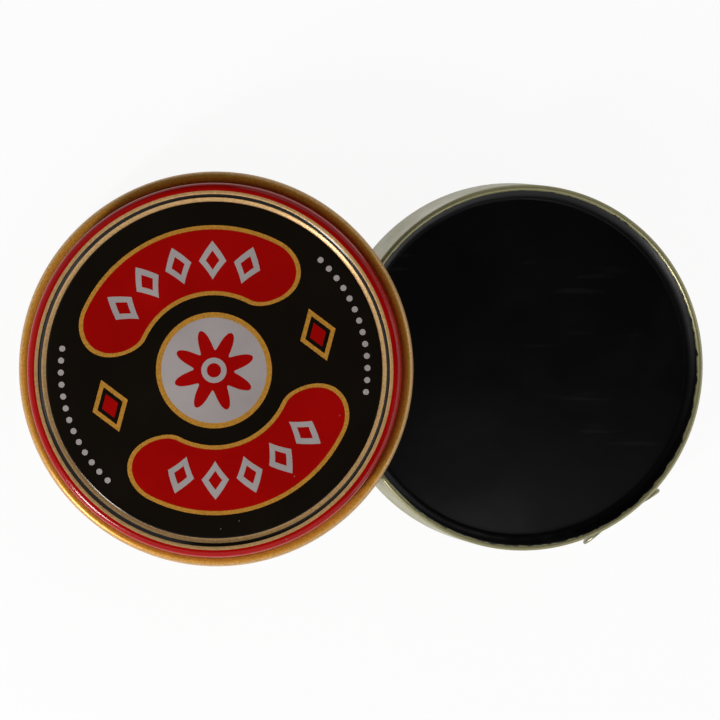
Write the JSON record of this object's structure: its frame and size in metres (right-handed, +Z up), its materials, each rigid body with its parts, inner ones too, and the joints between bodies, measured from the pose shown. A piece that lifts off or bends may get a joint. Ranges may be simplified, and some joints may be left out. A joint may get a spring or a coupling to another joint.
{
  "type": "shoe polish tin",
  "caption": "Round slip-lid tin of black shoe polish with a winged twist key on its wall; its printed lid is off and leans on the rim.",
  "frame": {"origin": "middle of the cup's underside, on the surface that the tin stands on", "axes": "+Z up along the cup's axis, -X towards the lid that leans on the cup"},
  "size_m": [0.1247, 0.072, 0.0239],
  "materials": {
    "lacquered_tinplate": "pale gold lacquer over rolled tinplate",
    "black_polish": "glossy cast wax",
    "printed_tinplate": "glossy printed ink and gold lacquer on tinplate",
    "plain_tinplate": "stamped tinplate",
    "rivet_steel": "tinned"
  },
  "bodies": {
    "cup": {"base_cup": "lacquered_tinplate", "polish_cake": "black_polish", "key_rivet": "rivet_steel"},
    "lid": {"lid_shell": "printed_tinplate"},
    "key": {"opener_key": "plain_tinplate"}
  },
  "joints": [
    {"name": "lid_lift", "type": "slide", "parent": "cup", "child": "lid", "axis": [0, 0, 1], "range_m": [0, 0.06]},
    {"name": "key_turn", "type": "hinge", "parent": "cup", "child": "key", "pos_m": [0.01969, -0.0271, 0.0064], "axis": [0.5878, -0.809, 0], "range_deg": [-45, 25]}
  ]
}
